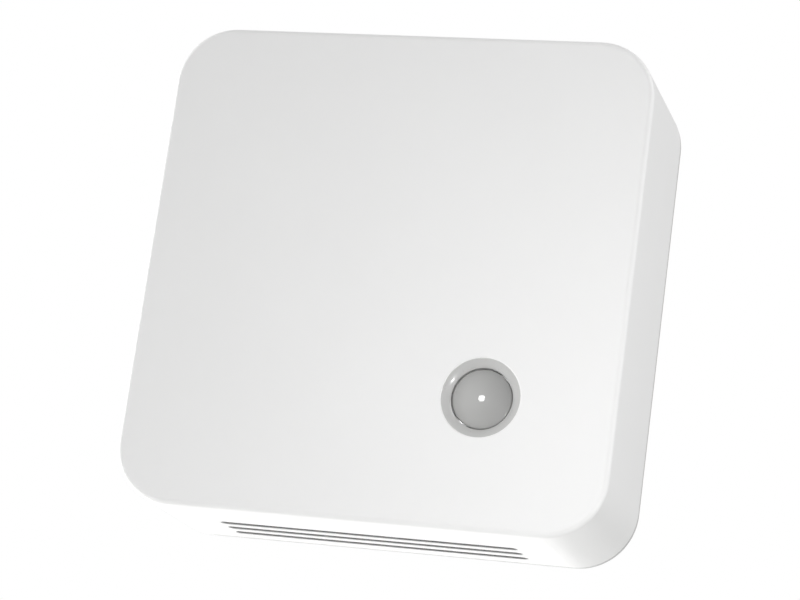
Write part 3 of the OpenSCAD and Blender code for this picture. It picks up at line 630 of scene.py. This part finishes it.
# %% Light guides
GUIDE_REACH = 8.2                  # from the lens's axis to a guide's axis
LEG_STEPS = 48
LEG_SECTION = [(0.0, 21.0), (1.0, 21.0), (1.2, 21.2), (1.2, 25.6), (1.0, 25.8), (0.0, 25.8)]
BRIDGE_REACH, BRIDGE_DEPTH = 6.7, 25.4
BRIDGE_LONG, BRIDGE_THICK, BRIDGE_WIDE, BRIDGE_BEVEL = 3.0, 0.8, 2.4, 0.1
for index, (across, up) in enumerate(((-1, 0), (0, 1)), start=1):
    leg_axis = LENS_AXIS + Vector((across, 0, up)) * GUIDE_REACH * MM
    leg = lathe(f"light_guide_{index}", LEG_SECTION, leg_axis, LEG_STEPS)
    bridge = bmesh.new()
    bridge.from_mesh(leg.data)
    made = bmesh.ops.create_cube(bridge, size=1.0)["verts"]
    middle = LENS_AXIS + Vector((across * BRIDGE_REACH, -BRIDGE_DEPTH, up * BRIDGE_REACH)) * MM
    wide, tall = (BRIDGE_LONG, BRIDGE_WIDE) if across else (BRIDGE_WIDE, BRIDGE_LONG)
    size = Vector((wide, BRIDGE_THICK, tall)) * MM
    for vert in made:
        vert.co = Vector(a * b for a, b in zip(vert.co, size)) + middle
    edges = list({edge for vert in made for edge in vert.link_edges})
    bmesh.ops.bevel(bridge, geom=edges, offset=BRIDGE_BEVEL * MM, segments=2, affect="EDGES")
    bridge.to_mesh(leg.data)
    bridge.free()
    leg.data.materials.append(finishes["lens_grey"])
    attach(leg, "sensor_unit")
print("two light guides")

# %% [markdown]
# ## Springs and aerial
# A battery spring is music wire wound on a cone, with its first and last turns laid flat so that
# it stands square. The cone lets the turns sink into one another when the cell is pushed. The
# aerial is the same wire trick with a steady pitch: a quarter of a radio wave, wound short.
# Both follow a list of points, and a tube is swept along it with as little twist as possible.

# %% Wire
WIRE_SIDES = 14


def wire(name, points, radius):
    """A round wire through the points, in millimetres, with closed ends."""
    shape = bmesh.new()
    turns = [math.tau * k / WIRE_SIDES for k in range(WIRE_SIDES)]
    rings = []
    side = Vector((0, 1, 0))
    for index, point in enumerate(points):
        ahead = (points[min(index + 1, len(points) - 1)] - points[max(index - 1, 0)]).normalized()
        side = (side - ahead * side.dot(ahead)).normalized()
        other = ahead.cross(side)
        rings.append([shape.verts.new((point + radius * (math.cos(t) * side + math.sin(t) * other)) * MM)
                      for t in turns])
    for here, there in zip(rings, rings[1:]):
        for k in range(WIRE_SIDES):
            after = (k + 1) % WIRE_SIDES
            shape.faces.new((here[k], here[after], there[after], there[k]))
    shape.faces.new(rings[0][::-1])
    shape.faces.new(rings[-1])
    piece = built(name, shape)
    shade(piece, WIRE_SHARP)
    return piece


# %% Battery springs
SPRING = {"turns": 3.5, "flat": 0.5, "wire": 0.3, "wide": 3.6, "narrow": 1.9, "foot": 26.8, "length": 3.1}
SPRING_STEPS = 48                  # points in a turn of a spring
CELL_DEPTH = 10.2
SPRINGS = {1: (-1, 27.05), 2: (1, 11.15)}  # each spring's end of the tray and its height

for number, (end, height) in SPRINGS.items():
    path = []
    for step in range(int(SPRING["turns"] * SPRING_STEPS) + 1):
        turn = step / SPRING_STEPS
        share = turn / SPRING["turns"]
        climb = (turn - SPRING["flat"]) / (SPRING["turns"] - 2 * SPRING["flat"])
        x = end * (SPRING["foot"] - SPRING["length"] * min(max(climb, 0.0), 1.0))
        r = SPRING["wide"] + (SPRING["narrow"] - SPRING["wide"]) * share
        angle = math.tau * turn
        path.append(Vector((x, -CELL_DEPTH + r * math.cos(angle), height + end * r * math.sin(angle))))
    spring = wire(f"battery_spring_{number}", path, SPRING["wire"])
    spring.data.materials.append(finishes["contact_nickel"])
    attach(spring, "sensor_unit")
    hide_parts(f"cell_spring_{number}")
    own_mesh(spring)
print("springs of", len(path), "points each")

# %% Aerial
AERIAL_STEPS = 40                  # points in a turn of the aerial
AERIAL = {"x": -34.3, "low": -25.0, "pitch": 2.0, "turns": 9, "radius": 2.4, "wire": 0.4, "depth": 15.3}
path = [Vector((AERIAL["x"], -depth, AERIAL["low"])) for depth in (18.3, 18.0)]
for step in range(AERIAL["turns"] * AERIAL_STEPS + 1):
    turn = step / AERIAL_STEPS
    angle = math.tau * turn - math.pi / 2
    path.append(Vector((
        AERIAL["x"] + AERIAL["radius"] * math.cos(angle),
        -AERIAL["depth"] + AERIAL["radius"] * math.sin(angle),
        AERIAL["low"] + AERIAL["pitch"] * turn)))
aerial = wire("aerial_coil", path, AERIAL["wire"])
aerial.data.materials.append(finishes["gold_plate"])
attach(aerial, "sensor_unit")
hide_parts("helical_antenna")
print("aerial", AERIAL["turns"], "turns")

# %% [markdown]
# ## The board's printed side
# A bare green slab would look like a toy. The real board's rear carries tracks under the green
# mask, tinned pads at each part's ends, beads of solder where legs come through, and white
# outlines that tell the assembler where parts go. All of them stand a few hundredths of a
# millimetre proud. They are built as thin slabs on the board's rear face, at depth 18.4 mm.
# The tracks run along and across in steps, as a layout program draws them, from a fixed seed.

# %% Thin slabs on the board
BOARD_REAR = 18.4
CORNER_SIGNS = ((-1, -1), (1, -1), (1, 1), (-1, 1))


def slabs(name, boxes, top, finish, bevel=0.0):
    """Flat boxes (x, z, width, height) in millimetres on the board's rear, as one piece.

    They stand top millimetres proud, and bevel is the share by which their tops are smaller."""
    shape = bmesh.new()
    for x, z, width, height in boxes:
        corners = [(x + sx * width / 2, z + sz * height / 2) for sx, sz in CORNER_SIGNS]
        low_ring = [shape.verts.new((a * MM, -BOARD_REAR * MM, b * MM)) for a, b in corners]
        inset = [(x + (a - x) * (1 - bevel), z + (b - z) * (1 - bevel)) for a, b in corners]
        high_ring = [shape.verts.new((a * MM, -(BOARD_REAR - top) * MM, b * MM)) for a, b in inset]
        shape.faces.new(low_ring)
        shape.faces.new(high_ring[::-1])
        for k in range(4):
            shape.faces.new((low_ring[k], high_ring[k], high_ring[(k + 1) % 4], low_ring[(k + 1) % 4]))
    piece = built(name, shape)
    piece.data.materials.append(finish)
    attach(piece, "sensor_unit")
    return piece


# %% Pads and outlines
PASSIVE_ROWS = (((4.2, -14.6), 5, (2.4, 0)), ((4.2, -1.2), 6, (2.4, 0)), ((-22.4, -12), 4, (0, 3)),
                ((18.6, -11.4), 3, (2.4, 0)), ((25.2, -31), 2, (0, -3)))
passives = [(x + i * dx, z + i * dz) for (x, z), count, (dx, dz) in PASSIVE_ROWS for i in range(count)]
pads = [(x + side * 0.85, z, 0.5, 1.0) for x, z in passives for side in (-1, 1)]
CHIP = (9.0, -8.0)
for k in range(-5, 6):
    for side in (-1, 1):
        pads.append((CHIP[0] + side * 3.7, CHIP[1] + k * 0.6, 0.9, 0.3))
        pads.append((CHIP[0] + k * 0.6, CHIP[1] + side * 3.7, 0.3, 0.9))
RADIO = (-9.0, -7.5)
pads += [(RADIO[0] + side * 8.4, RADIO[1] + 2 * k, 1.6, 1.1) for side in (-1, 1) for k in range(-3, 4)]
SWITCH, CRYSTAL = (31.0, -6.0), (16.6, -6.0)
pads += [(SWITCH[0] + sx * 3.6, SWITCH[1] + sz * 1.9, 1.4, 1.1) for sx in (-1, 1) for sz in (-1, 1)]
pads += [(CRYSTAL[0] + side * 1.7, CRYSTAL[1], 0.8, 1.5) for side in (-1, 1)]
tinned = slabs("board_pads", pads, 0.06, finishes["shield_tin"], 0.15)

OUTLINES = ((9, -8, 9.4, 9.4), (16.6, -6, 5.2, 2.5), (31, -6, 9.6, 7.0), (30.6, -20, 9.2, 9.2),
            (-3.2, -27.8, 34.6, 20.6), (0, 19.1, 59.2, 34.8))
LINE = 0.18
frames = []
for x, z, width, height in OUTLINES:
    frames += [(x, z + side * height / 2, width + LINE, LINE) for side in (-1, 1)]
    frames += [(x + side * width / 2, z, LINE, height - LINE) for side in (-1, 1)]
ink = plastic("ink_white", (0.78, 0.78, 0.74), 0.7, pebble=0.1, depth=0.004)
outlines = slabs("board_outlines", frames, 0.03, ink)
print(len(pads), "pads,", len(frames), "outline strokes")

# %% Tracks
dice = random.Random(11)
tracks = []
KEEP_IN, TRACK_TOP, TRACK_WIDE = 36.5, 1.5, 0.25
for _ in range(70):
    x, z = dice.uniform(-34, 34), dice.uniform(-35, TRACK_TOP)
    for _ in range(dice.randint(2, 5)):
        run = dice.uniform(3, 14) * dice.choice((-1, 1))
        if dice.random() < 0.5:
            far_x = min(max(x + run, -KEEP_IN), KEEP_IN)
            tracks.append(((x + far_x) / 2, z, abs(far_x - x) + TRACK_WIDE, TRACK_WIDE))
            x = far_x
        else:
            far_z = min(max(z + run, -KEEP_IN), TRACK_TOP)
            tracks.append((x, (z + far_z) / 2, TRACK_WIDE, abs(far_z - z) + TRACK_WIDE))
            z = far_z
# no track reaches into the square round a screw, a peg or the climate sensor: place and half side
CLEAR = [(x, z, 2.6) for x in (-32.5, 32.5) for z in (-32.5, 32.5)]
CLEAR += [(-36, 0, 1.6), (36, 0, 1.6), (-25.5, -32, 5.5)]


def crosses(track, square):
    """Whether a track reaches into a clear square."""
    x, z, reach = square
    return abs(track[0] - x) < track[2] / 2 + reach and abs(track[1] - z) < track[3] / 2 + reach


tracks = [track for track in tracks if not any(crosses(track, square) for square in CLEAR)]
masked = plastic("track_green", (0.02, 0.20, 0.09), 0.22, pebble=0.35, depth=0.003, cloud=0.2, coat=0.4)
copper = slabs("board_tracks", tracks, 0.02, masked, 0.1)
print(len(tracks), "track pieces")

# %% Solder beads
LEAD_ANGLES, LEAD_REACH, BEAD_STEPS = (45, 135, 225), 2.54, 32
BEAD_SECTION = [(0.24, BOARD_REAR), (0.85, BOARD_REAR), (0.62, 18.25), (0.42, 18.0),
                (0.30, 17.7), (0.24, 17.5)]
for index, degrees in enumerate(LEAD_ANGLES, start=1):
    angle = math.radians(degrees)
    lead_axis = LENS_AXIS + Vector((math.cos(angle), 0, math.sin(angle))) * LEAD_REACH * MM
    bead = lathe(f"solder_bead_{index}", BEAD_SECTION, lead_axis, BEAD_STEPS)
    bead.data.materials.append(finishes["shield_tin"])
    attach(bead, "sensor_unit")
print(len(LEAD_ANGLES), "solder beads")

# %% [markdown]
# ## Last steps
# The floor gets its paint.

# %% Floor finish
floor_paint = plastic("floor_paint", (0.80, 0.80, 0.79), 0.6, pebble=1.5, depth=0.05, cloud=0.02)
floor.data.materials.append(floor_paint)
